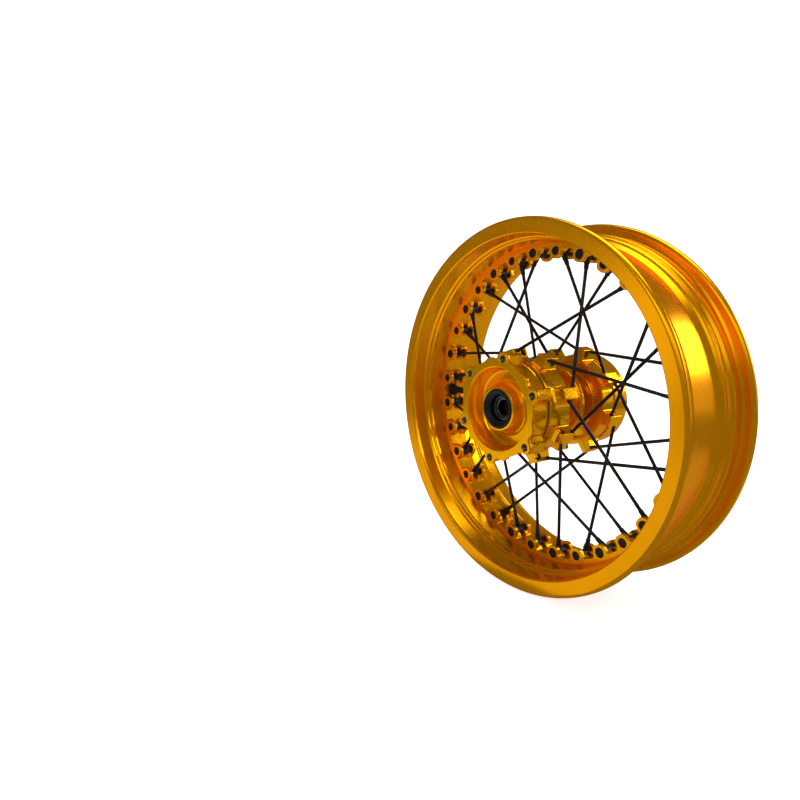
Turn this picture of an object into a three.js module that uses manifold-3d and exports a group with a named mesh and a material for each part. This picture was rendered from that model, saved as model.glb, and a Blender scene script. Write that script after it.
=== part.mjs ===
// Spoked rear wheel for a motorcycle: one-piece tubeless rim with 32 spoke ears, straight-pull spokes,
// a two-flange hub, and a separate sprocket carrier on a rubber cush drive.
// Millimetres. The wheel spins about +Y, +Z is up, the origin is the middle of the rim.
// The sprocket carrier is on the -Y side and the brake drum end on the +Y side.

import * as THREE from 'three';
import { mergeVertices } from 'three/addons/utils/BufferGeometryUtils.js';
import Module from 'manifold-3d';

const wasm = await Module();
wasm.setup();

// ---------------------------------------------------------------- driving dimensions

const FIT = 0.3;                    // gap between pieces that touch
const degrees = THREE.MathUtils.degToRad;

// rim
const RIM_R = 232.3;                // flange tip radius of a 17-inch rim
const TIP_R = 4.9;                  // half the thickness of the rounded flange tip
const RIM_HALF = 69.2;              // half the overall width
const BEAD_SEAT_R = 218.2;
const WELL_R = 209;
const RIM_SEGMENTS = 64;

// spoke ears
const EARS = 32;
const EAR_STEP = 2 * Math.PI / EARS;
const EAR_PHASE = degrees(85.26);
const PIN_CIRCLE_R = 194.1;
const EAR_R = 9.7;                  // rounding of an ear about its cross pin
const EAR_CORNER = degrees(52);     // between the corners of that rounding
const EAR_HALF = 15.4;              // half the axial length of the ear ring
const VALLEY_R = 198.2;             // bottom of the scallop between two ears
const SLOT_HALF = 10.4;             // half the axial width of the slot that holds the nipple
const PIN_R = 5.2;
const PIN_HOLE_R = 6;
const PIN_HALF = 14.9;

// spokes
const SPOKE_R = 2;
const SPOKE_HEAD_R = 3.4;
const SPOKE_HEAD_LENGTH = 3.4;
const SPOKE_BACK = 3.2;             // from the middle of the lug back to the seat of the head
const NIPPLE_R = 3.7;
const NIPPLE_LENGTH = 17;
const LACING = degrees(56.25);      // from a hub lug to the ear that its spoke reaches
const SPOKE_SPREAD = 6.1;           // axial distance of each spoke from the middle of its lug
const NIPPLE_Y = { leading: 0.8, trailing: 3.6 };  // axial distance of its end from the middle of the rim

// hub
const LUGS = 8;
const LUG_STEP = 2 * Math.PI / LUGS;
const LUG_HOLE_R = 67.9;
const LUG_TOP_R = 72.7;
const LUG_HALF_WIDTH = 7.4;
const LUG_FOOT_HALF = 9.4;
const FLANGE_R = 59;
const NEAR_FLANGE = { y: -42.5, half: 11.5, phase: EAR_PHASE - 6 * EAR_STEP, side: -1 };
const FAR_FLANGE = { y: 42.2, half: 11, phase: EAR_PHASE - 5 * EAR_STEP, side: 1 };
const HUB_NEAR_Y = -66;
const HUB_FAR_Y = 81.5;
const SPOOL_R = 36;
const COLLAR_R = 46;                // raised ring about the spool
const COLLAR_Y = 9;
const DRUM_R = 60.5;

// cush drive
const CUSH_INNER_R = 34;
const CUSH_OUTER_R = 52.4;
const CUSH_FLOOR_Y = -46;
const CUSH_STEP = degrees(60);
const CUSH_VANES = 6;
const VANE_HALF = degrees(4.6);
const RUBBER_HALF = degrees(16);
const DOG_HALF = degrees(8);
const DOG_END_Y = -50;

// sprocket carrier
const CARRIER_FACE_Y = -98;
const CARRIER_BACK_Y = -67;
const CARRIER_PHASE = degrees(20.7);
const BOLT_CIRCLE_R = 62.3;
const BOSS_R = 8.2;
const BOLT_HOLE_R = 4;
const BOLT_HOLE_DEPTH = 20;
const DISC_R = 60;
const DISC_THICKNESS = 5;
const PANEL_R = 56;                 // the drum's wall between two ribs

// bearings: 25 x 47 x 12 mm deep-groove
const BEARING_BORE_R = 12.5;
const BEARING_OUTER_R = 23.5;
const BEARING_HALF = 6;
const RACE_THICKNESS = 2;
const BALL_R = 3.2;
const BALL_CIRCLE_R = 18;
const BALLS = 8;
const CARRIER_BEARING_Y = -79;
const NEAR_BEARING_Y = -50;
const FAR_BEARING_Y = 70;

// axle pieces
const AXLE_R = 10.2;
const SLEEVE_R = 14;
const END_SLEEVE_R = 15.8;
const AXLE_NEAR_Y = -87;
const AXLE_FAR_Y = 88;

// valve, in the scallop between two ears
const VALVE_ANGLE = EAR_PHASE - 23.5 * EAR_STEP;
const VALVE_HOLE_R = 4.6;
const VALVE_BASE_R = 8.9;
const VALVE_BODY_R = 5.2;
const VALVE_TIP_R = 171;            // radius of the wheel at which the valve's cap ends

// ---------------------------------------------------------------- materials

const gold = { color: 0xc98406, roughness: 0.3, metalness: 1 };
const black = { color: 0x14120f, roughness: 0.45, metalness: 0.6 };
const steel = { color: 0xb4b2ae, roughness: 0.25, metalness: 1 };
const seal = { color: 0x131313, roughness: 0.7, metalness: 0 };

// ---------------------------------------------------------------- geometry helpers

// A closed three.js geometry as a manifold solid, turned outward if its faces point in.
function solid(geometry) {
  const bare = geometry.index ? geometry.toNonIndexed() : geometry.clone();
  for (const name of Object.keys(bare.attributes)) {
    if (name !== 'position') bare.deleteAttribute(name);
  }
  const merged = mergeVertices(bare, 1e-4);
  const vertices = Float32Array.from(merged.attributes.position.array);
  const corners = [];
  const index = merged.index.array;
  for (let i = 0; i < index.length; i += 3) {
    const [a, b, c] = [index[i], index[i + 1], index[i + 2]];
    if (a !== b && b !== c && c !== a) corners.push(a, b, c);
  }
  const build = (list) => new wasm.Manifold(new wasm.Mesh({
    numProp: 3, vertProperties: vertices, triVerts: Uint32Array.from(list),
  }));
  const body = build(corners);
  return body.volume() > 0 ? body : build(corners.reverse());
}

// A ring or disc turned about Y from [radius, y] points. A profile off the axis is closed on itself.
function turned(profile, segments = 24) {
  const points = profile.map(([r, y]) => new THREE.Vector2(r, y));
  const onAxis = profile[0][0] === 0 && profile[profile.length - 1][0] === 0;
  if (!onAxis) points.push(points[0].clone());
  return solid(new THREE.LatheGeometry(points, segments));
}

function tube(outer, inner, y0, y1, segments = 24) {
  return turned([[inner, y0], [outer, y0], [outer, y1], [inner, y1]], segments);
}

function rod(radius, y0, y1, segments = 16) {
  return turned([[0, y0], [radius, y0], [radius, y1], [0, y1]], segments);
}

// An outline of [x, z] points pulled along Y from y0 to y1.
function pulled(outline, y0, y1) {
  const shape = new THREE.Shape(outline.map(([x, z]) => new THREE.Vector2(x, -z)));
  const geometry = new THREE.ExtrudeGeometry(shape, { depth: y1 - y0, bevelEnabled: false });
  geometry.rotateX(-Math.PI / 2);
  geometry.translate(0, y0, 0);
  return solid(geometry);
}

// A solid made along +Y, turned so that +Y runs from one point to another.
function along(body, from, to) {
  const way = to.clone().sub(from).normalize();
  const turn = new THREE.Quaternion().setFromUnitVectors(new THREE.Vector3(0, 1, 0), way);
  const matrix = new THREE.Matrix4().compose(from, turn, new THREE.Vector3(1, 1, 1));
  return body.transform(matrix.elements);
}

// A point at a radius and an angle in the wheel's plane, at a distance along the axle.
function polar(radius, angle, y = 0) {
  return new THREE.Vector3(radius * Math.cos(angle), y, radius * Math.sin(angle));
}

// Turned about the wheel's axis, so that +X goes to the given angle.
function spun(body, angle) {
  return body.rotate([0, -THREE.MathUtils.radToDeg(angle), 0]);
}

function joined(bodies) {
  return wasm.Manifold.union(bodies);
}

const wheel = new THREE.Group();

function addPart(name, body, finish) {
  const mesh = body.getMesh();
  const geometry = new THREE.BufferGeometry();
  geometry.setAttribute('position', new THREE.BufferAttribute(Float32Array.from(mesh.vertProperties), 3));
  geometry.setIndex(new THREE.BufferAttribute(Uint32Array.from(mesh.triVerts), 1));
  geometry.computeVertexNormals();
  const part = new THREE.Mesh(geometry, new THREE.MeshStandardMaterial(finish));
  part.name = name;
  wheel.add(part);
}

// ---------------------------------------------------------------- rim

// Half of the rim's section: the barrel out to the flange, round its tip, and back underneath.
function rimHalfProfile(side) {
  const tipY = RIM_HALF - TIP_R;
  const tip = [];
  for (let step = 0; step <= 3; step += 1) {
    const angle = Math.PI * (1 - step / 3);
    tip.push([RIM_R - TIP_R + TIP_R * Math.sin(angle), tipY + TIP_R * Math.cos(angle)]);
  }
  const outside = [
    [WELL_R, 20.5], [212.6, 27.7], [215.6, 38], [219.4, 45], [BEAD_SEAT_R, 48.5], [BEAD_SEAT_R + 0.2, 59.4],
  ];
  const underneath = [
    [212.8, RIM_HALF], [210.9, 66.5], [210.2, 48], [205.5, 35.5], [203.8, EAR_HALF],
  ];
  return [...outside, ...tip, ...underneath].map(([r, y]) => [r, side * y]);
}

// The inner outline of the ear ring: each ear is rounded about its cross pin, with a scallop to the next.
function earOutline() {
  const outline = [];
  for (let ear = 0; ear < EARS; ear += 1) {
    const angle = EAR_PHASE + ear * EAR_STEP;
    const centre = polar(PIN_CIRCLE_R, angle);
    for (let step = -1.5; step <= 1.5; step += 1) {
      const turn = angle + Math.PI - step * EAR_CORNER;
      outline.push([centre.x + EAR_R * Math.cos(turn), centre.z + EAR_R * Math.sin(turn)]);
    }
    const valley = polar(VALLEY_R, angle + EAR_STEP / 2);
    outline.push([valley.x, valley.z]);
  }
  return outline;
}

function rim() {
  const barrel = turned([...rimHalfProfile(1), ...rimHalfProfile(-1).reverse()], RIM_SEGMENTS);
  const inside = pulled(earOutline(), -EAR_HALF - 1, EAR_HALF + 1);
  const ring = tube(205, 170, -EAR_HALF, EAR_HALF, RIM_SEGMENTS).subtract(inside);
  const slot = tube(VALLEY_R - 0.2, 160, -SLOT_HALF, SLOT_HALF, RIM_SEGMENTS);
  const hole = rod(PIN_HOLE_R, -EAR_HALF - 1, EAR_HALF + 1, 7);
  const holes = [];
  for (let ear = 0; ear < EARS; ear += 1) {
    const at = polar(PIN_CIRCLE_R, EAR_PHASE + ear * EAR_STEP);
    holes.push(hole.translate([at.x, 0, at.z]));
  }
  const valveHole = placedValve(rod(VALVE_HOLE_R, -20, 40, 12));
  return barrel.add(ring.subtract(slot)).subtract(joined(holes)).subtract(valveHole);
}

// ---------------------------------------------------------------- spokes

// The spokes of one flange: each lug holds two, the leading one nearer the rim's middle along the axle.
function spokeLines(flange) {
  const lines = [];
  for (let lug = 0; lug < LUGS; lug += 1) {
    for (const sense of [1, -1]) {
      const angle = flange.phase + lug * LUG_STEP;
      const end = sense > 0 ? -NIPPLE_Y.leading : NIPPLE_Y.trailing;
      const from = polar(LUG_HOLE_R, angle, flange.y - sense * flange.side * SPOKE_SPREAD);
      const to = polar(PIN_CIRCLE_R, angle + sense * LACING, flange.side * end);
      lines.push({ from, to });
    }
  }
  return lines;
}

// One spoke with its head, its nipple and the cross pin that the nipple is seated in.
function spoke({ from, to }) {
  const length = from.distanceTo(to);
  const shaft = rod(SPOKE_R, -SPOKE_BACK - 1, length, 6);
  const head = rod(SPOKE_HEAD_R, -SPOKE_BACK - SPOKE_HEAD_LENGTH, -SPOKE_BACK, 6);
  const nipple = turned([
    [0, length - NIPPLE_LENGTH], [2.9, length - NIPPLE_LENGTH], [NIPPLE_R, length - 8], [0, length],
  ], 6);
  const straight = along(joined([shaft, head, nipple]), from, to);
  return straight.add(rod(PIN_R, -PIN_HALF, PIN_HALF, 8).translate([to.x, 0, to.z]));
}

// ---------------------------------------------------------------- hub

// A sector of a ring between two radii, about the direction of +X.
function sector(inner, outer, half, y0, y1) {
  const outline = [];
  for (const [radius, way] of [[outer, 1], [inner, -1]]) {
    for (let step = -2; step <= 2; step += 1) {
      const angle = way * step / 2 * half;
      outline.push([radius * Math.cos(angle), radius * Math.sin(angle)]);
    }
  }
  return pulled(outline, y0, y1);
}

// One flange's lug, about the direction of +X: a block on a slightly wider foot.
function lug(flange) {
  const near = flange.y - flange.half;
  const far = flange.y + flange.half;
  const outline = [
    [56, -LUG_FOOT_HALF], [LUG_HOLE_R - 4, -LUG_HALF_WIDTH], [LUG_TOP_R - 1, -LUG_HALF_WIDTH + 1],
    [LUG_TOP_R, -LUG_HALF_WIDTH + 3], [LUG_TOP_R, LUG_HALF_WIDTH - 3], [LUG_TOP_R - 1, LUG_HALF_WIDTH - 1],
    [LUG_HOLE_R - 4, LUG_HALF_WIDTH], [56, LUG_FOOT_HALF],
  ];
  return pulled(outline, near, far);
}

// What a flange's spokes and their heads leave open in its lugs.
function spokeHoles(flange) {
  return spokeLines(flange).map(({ from, to }) => {
    const shaft = rod(SPOKE_R + 0.6, -SPOKE_BACK - 1, 16, 5);
    const seat = rod(SPOKE_HEAD_R + 0.9, -18, -SPOKE_BACK + FIT, 6);
    return along(shaft.add(seat), from, to);
  });
}

function hubShell() {
  const nearFront = NEAR_FLANGE.y + NEAR_FLANGE.half;
  const farFront = FAR_FLANGE.y - FAR_FLANGE.half;
  const turnedBody = turned([
    [16, HUB_NEAR_Y], [FLANGE_R - 1, HUB_NEAR_Y], [FLANGE_R, HUB_NEAR_Y + 1], [FLANGE_R, nearFront],
    [46, nearFront], [SPOOL_R, nearFront + 7],
    [SPOOL_R, COLLAR_Y - 6], [COLLAR_R - 3, COLLAR_Y - 5], [COLLAR_R, COLLAR_Y - 2],
    [COLLAR_R, COLLAR_Y + 2],
    [COLLAR_R - 3, COLLAR_Y + 5], [SPOOL_R, COLLAR_Y + 6], [SPOOL_R, farFront + 8], [50.3, farFront + 8],
    [50.3, farFront], [FLANGE_R, farFront], [FLANGE_R, 52.5], [DRUM_R, 53.5], [DRUM_R, HUB_FAR_Y - 2],
    [DRUM_R - 2, HUB_FAR_Y], [16, HUB_FAR_Y],
  ], 36);
  const lugs = [];
  for (const flange of [NEAR_FLANGE, FAR_FLANGE]) {
    for (let n = 0; n < LUGS; n += 1) lugs.push(spun(lug(flange), flange.phase + n * LUG_STEP));
  }
  const vanes = [];
  for (let n = 0; n < CUSH_VANES; n += 1) {
    const vane = sector(CUSH_INNER_R - 1, CUSH_OUTER_R + 1, VANE_HALF, HUB_NEAR_Y + 2, CUSH_FLOOR_Y);
    vanes.push(spun(vane, CARRIER_PHASE + (n + 0.5) * CUSH_STEP));
  }
  const pocket = tube(CUSH_OUTER_R, CUSH_INNER_R, HUB_NEAR_Y - 1, CUSH_FLOOR_Y, 36).subtract(joined(vanes));
  const bore = turned([
    [0, HUB_NEAR_Y - 1], [BEARING_OUTER_R + FIT, HUB_NEAR_Y - 1],
    [BEARING_OUTER_R + FIT, NEAR_BEARING_Y + BEARING_HALF + FIT],
    [17, NEAR_BEARING_Y + BEARING_HALF + FIT], [17, FAR_BEARING_Y - BEARING_HALF - FIT],
    [BEARING_OUTER_R + FIT, FAR_BEARING_Y - BEARING_HALF - FIT], [BEARING_OUTER_R + FIT, HUB_FAR_Y + 1],
    [0, HUB_FAR_Y + 1],
  ]);
  const holes = [...spokeHoles(NEAR_FLANGE), ...spokeHoles(FAR_FLANGE)];
  return turnedBody.add(joined(lugs)).subtract(joined([pocket, bore, ...holes]));
}

function cushRubber() {
  const block = sector(CUSH_INNER_R + 1, CUSH_OUTER_R - 1, RUBBER_HALF, HUB_NEAR_Y + 0.5, CUSH_FLOOR_Y - 0.5);
  const room = VANE_HALF * 1.15;
  const slot = sector(CUSH_INNER_R - 2, CUSH_OUTER_R + 2, room, HUB_NEAR_Y + 1.7, CUSH_FLOOR_Y + 1);
  return block.subtract(slot);
}

// ---------------------------------------------------------------- sprocket carrier

function sprocketCarrier() {
  const boreR = BEARING_OUTER_R + FIT;
  const bearingBack = CARRIER_BEARING_Y + BEARING_HALF + FIT;
  const turnedBody = turned([
    [boreR, -94.4], [26.4, -94.6], [27, -94], [28.6, -84], [32.6, -79], [33.4, -77], [46, -75.8], [47, -76.8],
    [50.4, -95.5], [51.8, CARRIER_FACE_Y], [DISC_R - 0.8, CARRIER_FACE_Y], [DISC_R, CARRIER_FACE_Y + 0.8],
    [DISC_R, CARRIER_FACE_Y + DISC_THICKNESS], [PANEL_R, CARRIER_FACE_Y + DISC_THICKNESS + 1],
    [PANEL_R, CARRIER_BACK_Y - 5], [57.5, CARRIER_BACK_Y - 4], [58, CARRIER_BACK_Y],
    [54, CARRIER_BACK_Y], [52, -72], [32, -72], [31, -68.5], [17, -68.5],
    [17, bearingBack], [boreR, bearingBack],
  ], 36);
  const pieces = [turnedBody];
  const boss = rod(BOSS_R, CARRIER_FACE_Y, CARRIER_FACE_Y + DISC_THICKNESS, 12);
  const rib = rod(BOSS_R - 1.2, CARRIER_FACE_Y + 1, CARRIER_BACK_Y - 4, 8);
  const web = pulled([[52, -13], [59, -12], [64, -7], [64, 7], [59, 12], [52, 13]],
    CARRIER_FACE_Y, CARRIER_FACE_Y + DISC_THICKNESS);
  const root = pulled([[53, -9], [57, -8], [62, -6.5], [62, 6.5], [57, 8], [53, 9]],
    CARRIER_FACE_Y + 1, CARRIER_BACK_Y - 4);
  const boltHole = rod(BOLT_HOLE_R, CARRIER_FACE_Y - 1, CARRIER_FACE_Y + BOLT_HOLE_DEPTH, 8)
    .translate([BOLT_CIRCLE_R, 0, 0]);
  const holes = [];
  for (let n = 0; n < CUSH_VANES; n += 1) {
    const angle = CARRIER_PHASE + n * CUSH_STEP;
    pieces.push(spun(joined([boss.add(rib).translate([BOLT_CIRCLE_R, 0, 0]), web, root]), angle));
    pieces.push(spun(sector(CUSH_INNER_R + 2, CUSH_OUTER_R - 2, DOG_HALF, -73, DOG_END_Y), angle));
    holes.push(spun(boltHole, angle));
  }
  return joined(pieces).subtract(joined(holes));
}

// ---------------------------------------------------------------- bearings, seals and sleeves

function ballCage(y) {
  const balls = [tube(BALL_CIRCLE_R + 0.9, BALL_CIRCLE_R - 0.9, y - 4.2, y + 4.2, 16)];
  for (let n = 0; n < BALLS; n += 1) {
    const at = polar(BALL_CIRCLE_R, n * 2 * Math.PI / BALLS, y);
    balls.push(solid(new THREE.SphereGeometry(BALL_R, 5, 4)).translate([at.x, at.y, at.z]));
  }
  return joined(balls);
}

function addBearing(place, y) {
  const [y0, y1] = [y - BEARING_HALF, y + BEARING_HALF];
  const outerRace = tube(BEARING_OUTER_R, BEARING_OUTER_R - RACE_THICKNESS, y0, y1);
  const innerRace = tube(BEARING_BORE_R + RACE_THICKNESS, BEARING_BORE_R, y0, y1);
  addPart(`${place}_bearing_outer_race`, outerRace, steel);
  addPart(`${place}_bearing_inner_race`, innerRace, steel);
  addPart(`${place}_bearing_balls`, ballCage(y), steel);
}

// An end piece of the axle: a flanged sleeve whose stem goes into the bearing's bore.
function endSleeve(faceY, bearingY, side) {
  const shoulder = bearingY + side * (BEARING_HALF + FIT);
  const stemR = BEARING_BORE_R - FIT;
  return turned([
    [AXLE_R, faceY], [END_SLEEVE_R - 0.8, faceY], [END_SLEEVE_R, faceY - side * 0.8],
    [END_SLEEVE_R, shoulder],
    [stemR, shoulder], [stemR, bearingY + side], [AXLE_R, bearingY + side],
  ]);
}

// ---------------------------------------------------------------- valve

// Made along +Y from the rim towards the hub, then laid on the valve's radius.
function placedValve(body) {
  return along(body, polar(VALLEY_R, VALVE_ANGLE), polar(0, VALVE_ANGLE));
}

function valveBody() {
  const stemEnd = VALLEY_R - VALVE_TIP_R - 8;
  return turned([
    [0, -13], [VALVE_HOLE_R - 0.4, -13], [VALVE_HOLE_R - 0.4, 3 * FIT], [VALVE_BASE_R, 3 * FIT],
    [VALVE_BASE_R, 3], [7.2, 3.4], [7.2, 7.5], [VALVE_BODY_R, 8], [VALVE_BODY_R, 13],
    [3.8, 13.6], [3.8, stemEnd],
    [1.5, stemEnd], [1.5, stemEnd - 8], [0, stemEnd - 8],
  ], 14);
}

function valveCore() {
  const stemEnd = VALLEY_R - VALVE_TIP_R - 8;
  return rod(1, stemEnd - 6, stemEnd + 0.6, 10);
}

function valveCap() {
  const stemEnd = VALLEY_R - VALVE_TIP_R - 8;
  return turned([
    [0, stemEnd + 8], [4.2, stemEnd + 8], [4.8, stemEnd + 7], [4.8, stemEnd + 1], [4.4, stemEnd - 3],
    [4.1, stemEnd - 3], [4.1, stemEnd + 2.4], [0, stemEnd + 2.4],
  ], 16);
}

// ---------------------------------------------------------------- assembly

addPart('rim', rim(), gold);
for (const [side, flange] of [['near', NEAR_FLANGE], ['far', FAR_FLANGE]]) {
  spokeLines(flange).forEach((line, n) => {
    addPart(`spoke_${side}_${String(n + 1).padStart(2, '0')}`, spoke(line), black);
  });
}
addPart('hub_shell', hubShell(), gold);
addPart('sprocket_carrier', sprocketCarrier(), gold);
for (let n = 0; n < CUSH_VANES; n += 1) {
  addPart(`cush_rubber_${n + 1}`, spun(cushRubber(), CARRIER_PHASE + (n + 0.5) * CUSH_STEP), seal);
}
addBearing('carrier', CARRIER_BEARING_Y);
addBearing('hub_near', NEAR_BEARING_Y);
addBearing('hub_far', FAR_BEARING_Y);
addPart('carrier_seal', turned([
  [END_SLEEVE_R + FIT, -87.5], [END_SLEEVE_R + 2, -90], [20, -93.5], [BEARING_OUTER_R, -95.2],
  [BEARING_OUTER_R, CARRIER_BEARING_Y - BEARING_HALF - FIT],
  [END_SLEEVE_R + FIT, CARRIER_BEARING_Y - BEARING_HALF - FIT],
]), seal);
addPart('hub_far_seal', turned([
  [END_SLEEVE_R + FIT, FAR_BEARING_Y + BEARING_HALF + FIT],
  [BEARING_OUTER_R, FAR_BEARING_Y + BEARING_HALF + FIT],
  [BEARING_OUTER_R, HUB_FAR_Y], [20, HUB_FAR_Y - 1], [END_SLEEVE_R + FIT, HUB_FAR_Y - 0.5],
]), seal);
addPart('near_end_sleeve', endSleeve(AXLE_NEAR_Y, CARRIER_BEARING_Y, -1), steel);
addPart('far_end_sleeve', endSleeve(AXLE_FAR_Y, FAR_BEARING_Y, 1), steel);
addPart('carrier_sleeve', tube(SLEEVE_R, AXLE_R,
  CARRIER_BEARING_Y + BEARING_HALF + FIT, NEAR_BEARING_Y - BEARING_HALF - FIT), steel);
addPart('centre_sleeve', tube(SLEEVE_R, AXLE_R,
  NEAR_BEARING_Y + BEARING_HALF + FIT, FAR_BEARING_Y - BEARING_HALF - FIT), steel);
addPart('valve_body', placedValve(valveBody()), black);
addPart('valve_core', placedValve(valveCore()), steel);
addPart('valve_cap', placedValve(valveCap()), black);

export default wheel;
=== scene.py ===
# The looks of a spoked motorcycle wheel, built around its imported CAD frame.
# Metres in Blender; the sizes below are in millimetres and MM turns them into metres.
# The wheel spins about +Y, +Z is up, and the origin is the middle of the rim.
import math

import bmesh
import bpy
from mathutils import Matrix, Vector


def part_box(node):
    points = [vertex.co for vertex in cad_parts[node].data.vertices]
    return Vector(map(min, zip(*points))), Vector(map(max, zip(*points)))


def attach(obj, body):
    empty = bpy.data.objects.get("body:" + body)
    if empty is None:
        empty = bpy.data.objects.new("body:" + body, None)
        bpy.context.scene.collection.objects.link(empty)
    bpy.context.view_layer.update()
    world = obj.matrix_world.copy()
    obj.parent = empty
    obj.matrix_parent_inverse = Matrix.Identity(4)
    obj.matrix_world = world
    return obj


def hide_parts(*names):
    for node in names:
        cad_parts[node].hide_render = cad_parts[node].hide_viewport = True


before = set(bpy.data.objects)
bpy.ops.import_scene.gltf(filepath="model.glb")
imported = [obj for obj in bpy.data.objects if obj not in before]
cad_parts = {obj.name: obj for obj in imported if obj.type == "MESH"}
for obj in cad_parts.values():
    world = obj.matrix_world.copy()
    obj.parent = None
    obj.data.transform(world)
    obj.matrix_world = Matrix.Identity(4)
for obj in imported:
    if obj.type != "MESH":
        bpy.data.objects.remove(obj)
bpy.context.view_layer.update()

MM = 0.001
TAU = 2 * math.pi
AXLE = Vector((0, 1, 0))

# ---------------------------------------------------------------- sizes, in millimetres

# rim
RIM_SEGMENTS = 256
TIP_R = 4.9
TIP_CENTRE_R = 227.4
TIP_CENTRE_Y = 64.3
EAR_FACE_Y = 15.4
RING_OUTER_R = 205.6
VALLEY_R = 198.0

# spoke ears and cross pins
EARS = 32
EAR_STEP = TAU / EARS
EAR_PHASE = math.radians(85.26)
PIN_CIRCLE_R = 194.1
EAR_R = 9.7
EAR_ROOT_HALF = 11.6
POCKET_HALF = 9.6
SLOT_HALF = 4.4
POCKET_TOP_R = 192.5
PIN_R = (5.3, 5.9)

# spokes
SPOKE_R = 2.05
LACING = math.radians(56.25)
SPOKE_SPREAD = 6.1
LEADING_END_Y = 0.8
TRAILING_END_Y = 3.6
HEAD_SEAT = 3.0
HEAD_R = 3.6
HEAD_LENGTH = 3.6
NIPPLE_R = 3.7
NIPPLE_LENGTH = 18.0
BARREL_R = 5.0

# hub
LUGS = 8
LUG_STEP = TAU / LUGS
LUG_HOLE_R = 67.9
NEAR_FLANGE = {"y": -42.6, "half": 11.7, "phase": EAR_PHASE - 6 * EAR_STEP, "side": -1}
FAR_FLANGE = {"y": 42.2, "half": 11.2, "phase": EAR_PHASE - 5 * EAR_STEP, "side": 1}
FLANGE_R = 59.0
LUG_TOP_R = 72.7
LUG_TOP_HALF = 7.0
LUG_FOOT_HALF = 8.4
LUG_RING_BORE_R = 52.0

# sprocket carrier
CARRIER_FACE_Y = -98.0
CARRIER_PHASE = math.radians(20.7)
BOSSES = 6
BOSS_STEP = TAU / BOSSES
BOLT_CIRCLE_R = 62.3
BOSS_R = 8.2
BOLT_HOLE_R = 4.0

# valve
VALVE_ANGLE = EAR_PHASE - 23.5 * EAR_STEP

# ---------------------------------------------------------------- outlines


def polar(radius, angle, y=0.0):
    """A point at a radius and an angle in the wheel's plane, y along the axle."""
    return Vector((radius * math.cos(angle), y, radius * math.sin(angle)))


def filleted(points, closed=True, chord=0.5):
    """Points (a, b, radius) as an outline whose corners are rounded by arcs of those radii."""
    count = len(points)
    result = []
    for i, (a, b, radius) in enumerate(points):
        here = Vector((a, b))
        if radius <= 0 or (not closed and i in (0, count - 1)):
            result.append(here)
            continue
        before = Vector(points[i - 1][:2]) - here
        after = Vector(points[(i + 1) % count][:2]) - here
        turn = before.angle(after)
        reach = radius / math.tan(turn / 2)
        limit = 0.49 * min(before.length, after.length)
        if reach > limit:
            radius *= limit / reach
            reach = limit
        middle = before.normalized() + after.normalized()
        if middle.length < 1e-4 or turn > math.radians(177):
            result.append(here)
            continue
        centre = here + middle.normalized() * (radius / math.sin(turn / 2))
        start = here + before.normalized() * reach - centre
        end = here + after.normalized() * reach - centre
        sweep = start.angle(end)
        steps = max(2, math.ceil(radius * sweep / chord))
        steps = min(steps, 24)
        sense = 1 if start.cross(end) > 0 else -1
        for n in range(steps + 1):
            spin = sense * sweep * n / steps
            cos, sin = math.cos(spin), math.sin(spin)
            result.append(centre + Vector((start.x * cos - start.y * sin, start.x * sin + start.y * cos)))
    return result


def circle(radius, centre=(0.0, 0.0), count=48):
    return [Vector((centre[0] + radius * math.cos(TAU * n / count),
                    centre[1] + radius * math.sin(TAU * n / count))) for n in range(count)]


def repeated(unit, count, phase):
    """A closed outline from one tooth's (radius, sideways, fillet) points, repeated round the axle."""
    points = []
    for n in range(count):
        angle = phase + n * TAU / count
        cos, sin = math.cos(angle), math.sin(angle)
        for radius, sideways, fillet in unit:
            points.append((radius * cos - sideways * sin, radius * sin + sideways * cos, fillet))
    return points


def inset(outline, distance):
    """A closed anticlockwise outline moved inwards by a distance (outwards if it is negative)."""
    count = len(outline)
    moved = []
    for i, here in enumerate(outline):
        ahead = (outline[(i + 1) % count] - here).normalized()
        behind = (here - outline[i - 1]).normalized()
        normal = Vector((-(ahead.y + behind.y), ahead.x + behind.x))
        if normal.length < 1e-6:
            moved.append(here.copy())
            continue
        normal.normalize()
        cosine = max(0.35, normal.dot(Vector((-ahead.y, ahead.x))))
        moved.append(here + normal * distance / cosine)
    return moved


def anticlockwise(outline):
    area = sum(outline[i - 1].cross(outline[i]) for i in range(len(outline)))
    return outline if area > 0 else outline[::-1]


# ---------------------------------------------------------------- solids


def turned(profile, segments=96):
    """A bmesh turned about the axle from (radius, y) points in order.

    An outline with both ends on the axis is closed by it; any other is closed as a ring.
    """
    bm = bmesh.new()
    on_axis = profile[0][0] < 1e-6 and profile[-1][0] < 1e-6
    rings = []
    for radius, y in profile:
        if radius < 1e-6:
            rings.append([bm.verts.new(Vector((0, y, 0)) * MM)])
        else:
            places = [polar(radius, TAU * n / segments, y) * MM for n in range(segments)]
            rings.append([bm.verts.new(place) for place in places])
    pairs = list(zip(rings, rings[1:]))
    if not on_axis:
        pairs.append((rings[-1], rings[0]))
    for first, second in pairs:
        for n in range(segments):
            after = (n + 1) % segments
            corners = [first[n % len(first)], first[after % len(first)],
                       second[after % len(second)], second[n % len(second)]]
            unique = []
            for corner in corners:
                if corner not in unique:
                    unique.append(corner)
            if len(unique) > 2:
                bm.faces.new(unique)
    bmesh.ops.recalc_face_normals(bm, faces=bm.faces)
    return bm


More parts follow.
